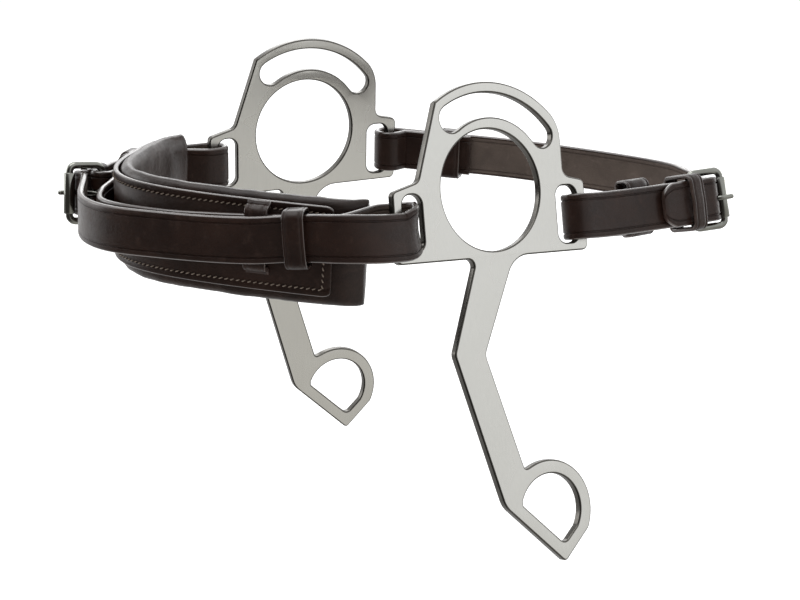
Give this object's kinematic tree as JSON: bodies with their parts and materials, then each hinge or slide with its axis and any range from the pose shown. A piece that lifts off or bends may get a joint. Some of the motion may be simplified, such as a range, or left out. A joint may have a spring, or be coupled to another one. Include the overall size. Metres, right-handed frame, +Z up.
{
  "type": "hackamore",
  "caption": "Bitless bridle noseband with flat steel lever cheeks, a padded leather nosepiece, a buckled nose strap and a buckled curb strap.",
  "frame": {"origin": "middle of the nosepiece's inner face, where it rests on the nose", "axes": "+X from the nose to the jaw, +Y from the near cheek to the far cheek, +Z up"},
  "size_m": [0.2875, 0.2255, 0.2122],
  "materials": {
    "polished_steel": "satin polish with rounded edges",
    "buckle_steel": "polished, slightly dulled",
    "strap_leather": "havana brown, waxed, creased near its edges",
    "pad_leather": "soft dark brown, rolled edges"
  },
  "bodies": {
    "nosepiece": {"nose_pad": "pad_leather", "nose_facing": "pad_leather", "near_nose_loop": "strap_leather", "far_nose_loop": "strap_leather", "nose_strap": "strap_leather", "nose_buckle_frame": "buckle_steel", "nose_keeper_fixed": "strap_leather"},
    "near_lever": {"near_cheek": "polished_steel"},
    "far_lever": {"far_cheek": "polished_steel"},
    "curb": {"curb_strap_near": "strap_leather", "curb_strap_far": "strap_leather", "curb_buckle_frame": "buckle_steel", "curb_keeper_fixed": "strap_leather", "curb_inner_loop": "strap_leather", "curb_keeper_far": "strap_leather"},
    "nose_tongue": {"nose_buckle_tongue": "buckle_steel"},
    "nose_roller": {"nose_buckle_roller": "buckle_steel"},
    "curb_tongue": {"curb_buckle_tongue": "buckle_steel"},
    "curb_roller": {"curb_buckle_roller": "buckle_steel"},
    "near_keeper": {"nose_keeper_near": "strap_leather"},
    "far_keeper": {"nose_keeper_far": "strap_leather"}
  },
  "joints": [
    {"name": "near_cheek_lever", "type": "hinge", "parent": "nosepiece", "child": "near_lever", "pos_m": [0.07318, -0.09292, 0.00752], "axis": [0.0045, 0.9997, -0.0237], "range_deg": [-3.5, 8]},
    {"name": "far_cheek_lever", "type": "hinge", "parent": "nosepiece", "child": "far_lever", "pos_m": [0.074, 0.08672, 0.00325], "axis": [0.0045, 0.9997, -0.0237], "range_deg": [-3.5, 8]},
    {"name": "curb_swing", "type": "hinge", "parent": "near_lever", "child": "curb", "pos_m": [0.17176, -0.08836, -0.00044], "axis": [0.0061, 0.9998, 0.0204], "range_deg": [-3.5, 5]},
    {"name": "nose_tongue_lift", "type": "hinge", "parent": "nosepiece", "child": "nose_tongue", "pos_m": [-0.00157, 0.04729, 0.00469], "axis": [-0.091, -0.0933, -0.9915], "range_deg": [0, 2]},
    {"name": "nose_roller_turn", "type": "hinge", "parent": "nosepiece", "child": "nose_roller", "pos_m": [-0.01676, 0.04858, 0.00596], "axis": [-0.091, -0.0933, -0.9915], "continuous": true},
    {"name": "curb_tongue_lift", "type": "hinge", "parent": "curb", "child": "curb_tongue", "pos_m": [0.23671, -0.08781, -0.00118], "axis": [0.016, -0.2414, -0.9703], "range_deg": [0, 2]},
    {"name": "curb_roller_turn", "type": "hinge", "parent": "curb", "child": "curb_roller", "pos_m": [0.25129, -0.09225, 0.00016], "axis": [0.016, -0.2414, -0.9703], "continuous": true},
    {"name": "near_keeper_slide", "type": "slide", "parent": "nosepiece", "child": "near_keeper", "axis": [-0.7213, 0.6904, 0.0563], "range_m": [-0.0015, 0.0015]},
    {"name": "far_keeper_slide", "type": "slide", "parent": "nosepiece", "child": "far_keeper", "axis": [0.6703, 0.7414, -0.0313], "range_m": [-0.0015, 0.0015]}
  ],
  "couplings": [
    {"joint": "far_cheek_lever", "follows": "near_cheek_lever", "ratio": 1}
  ]
}
